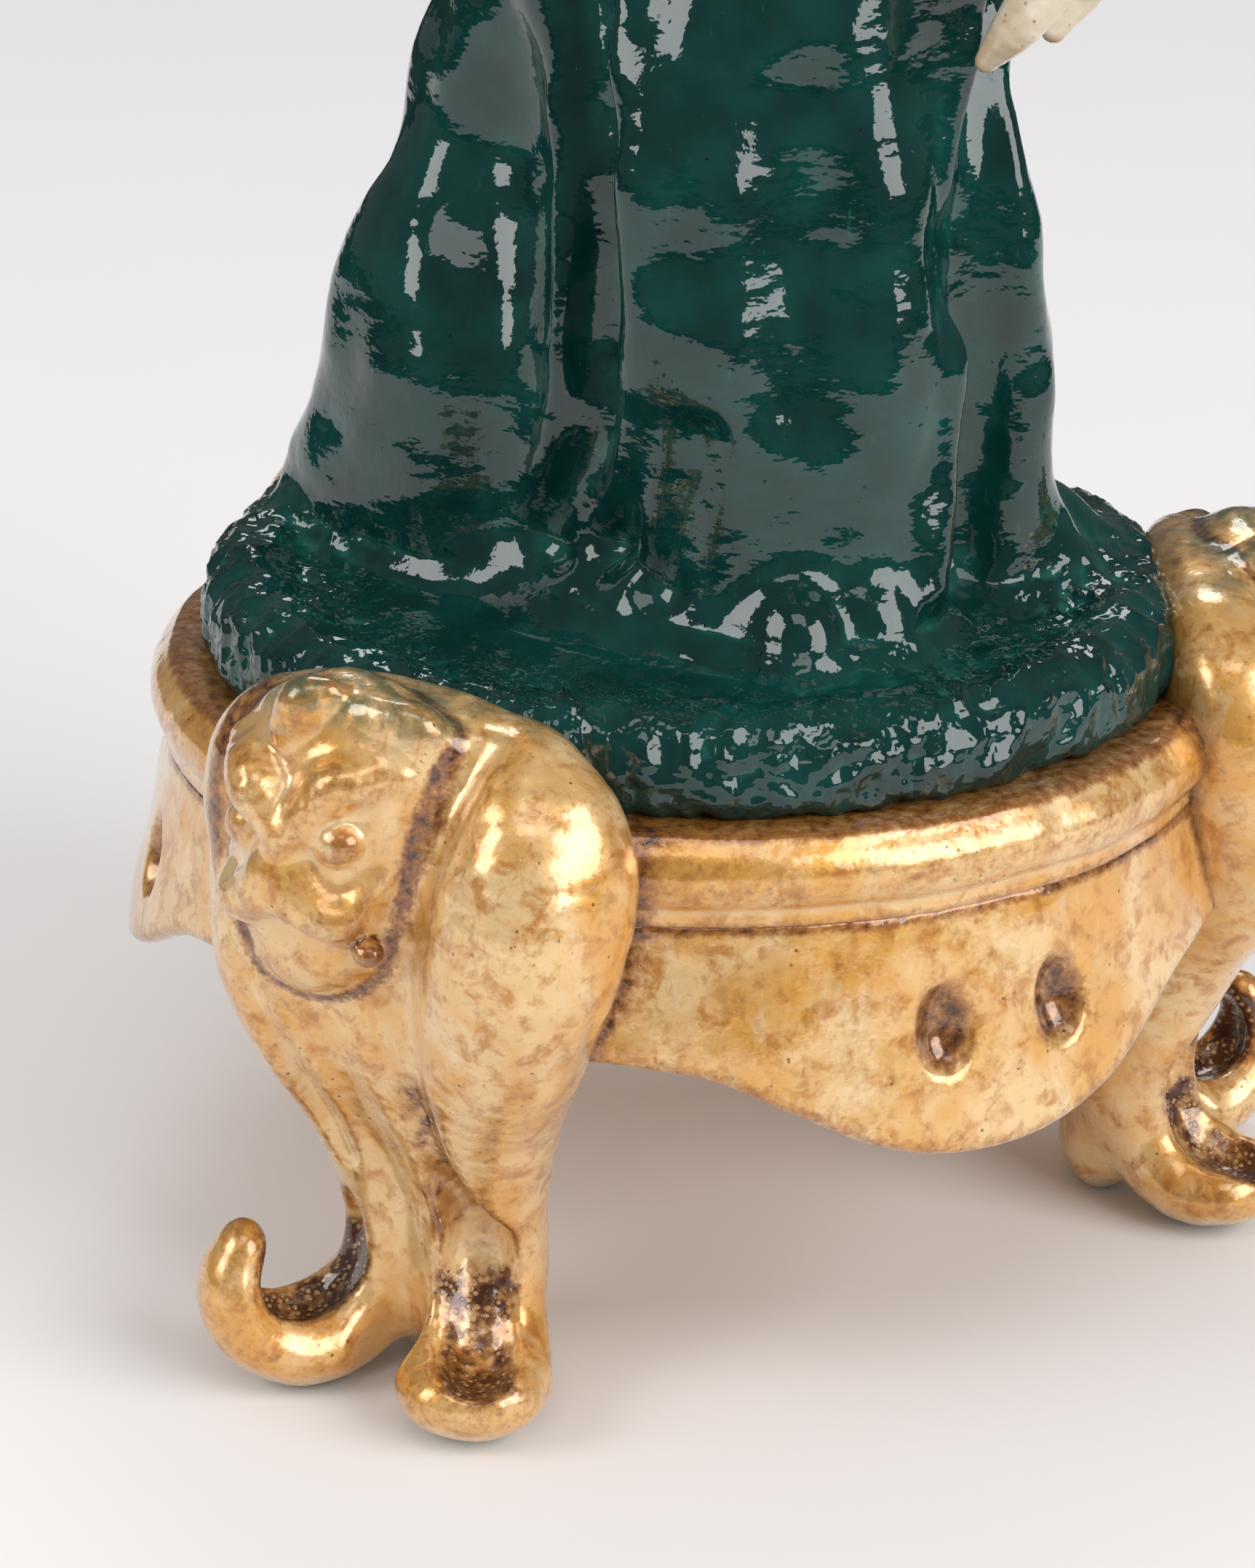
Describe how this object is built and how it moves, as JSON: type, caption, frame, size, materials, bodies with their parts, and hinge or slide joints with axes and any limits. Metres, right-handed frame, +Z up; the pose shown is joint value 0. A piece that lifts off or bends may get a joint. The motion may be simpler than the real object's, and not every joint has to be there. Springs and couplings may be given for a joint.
{
  "type": "foo dog statue",
  "caption": "Glazed earthenware guardian dog seated on a round rock pad, carried by a stand with a moulded rim, lobed aprons and masked cabriole legs.",
  "frame": {"origin": "middle of the floor under the statue's bounding box", "axes": "+Z up; -Y is the front of the stand, where one apron lobe hangs; +X is the stand's left side as it faces forward"},
  "size_m": [0.1666, 0.1594, 0.264],
  "materials": {
    "green_glaze": "deep bottle-green lead glaze over earthenware, very glossy, with orange-peel ripples",
    "amber_glaze": "golden amber lead glaze over buff earthenware, glossy, darker where it pools",
    "cream_glaze": "straw-cream clear glaze over white slip, glossy, with brown iron specks",
    "aubergine_glaze": "red-brown glaze, glossy"
  },
  "bodies": {
    "root": {"apron_front": "amber_glaze", "apron_left": "amber_glaze", "apron_right": "amber_glaze", "beard": "cream_glaze", "brow_left": "amber_glaze", "brow_right": "amber_glaze", "crown": "amber_glaze", "ear_left": "amber_glaze", "ear_right": "amber_glaze", "eye_left": "cream_glaze", "eye_right": "cream_glaze", "front_leg_left": "green_glaze", "front_leg_right": "green_glaze", "front_paw_left": "green_glaze", "front_paw_right": "green_glaze", "haunch_left": "green_glaze", "haunch_right": "green_glaze", "head": "green_glaze", "hind_paw_left": "green_glaze", "hind_paw_right": "green_glaze", "leg_left": "amber_glaze", "leg_rear": "amber_glaze", "leg_right": "amber_glaze", "lower_jaw": "cream_glaze", "mane_back": "amber_glaze", "mane_left": "amber_glaze", "mane_right": "amber_glaze", "mask_left": "amber_glaze", "mask_rear": "amber_glaze", "mask_right": "amber_glaze", "nose": "amber_glaze", "pad": "green_glaze", "stand_top": "amber_glaze", "tail": "amber_glaze", "teeth_lower": "cream_glaze", "teeth_upper": "cream_glaze", "tongue": "aubergine_glaze", "torso": "green_glaze"}
  },
  "joints": []
}
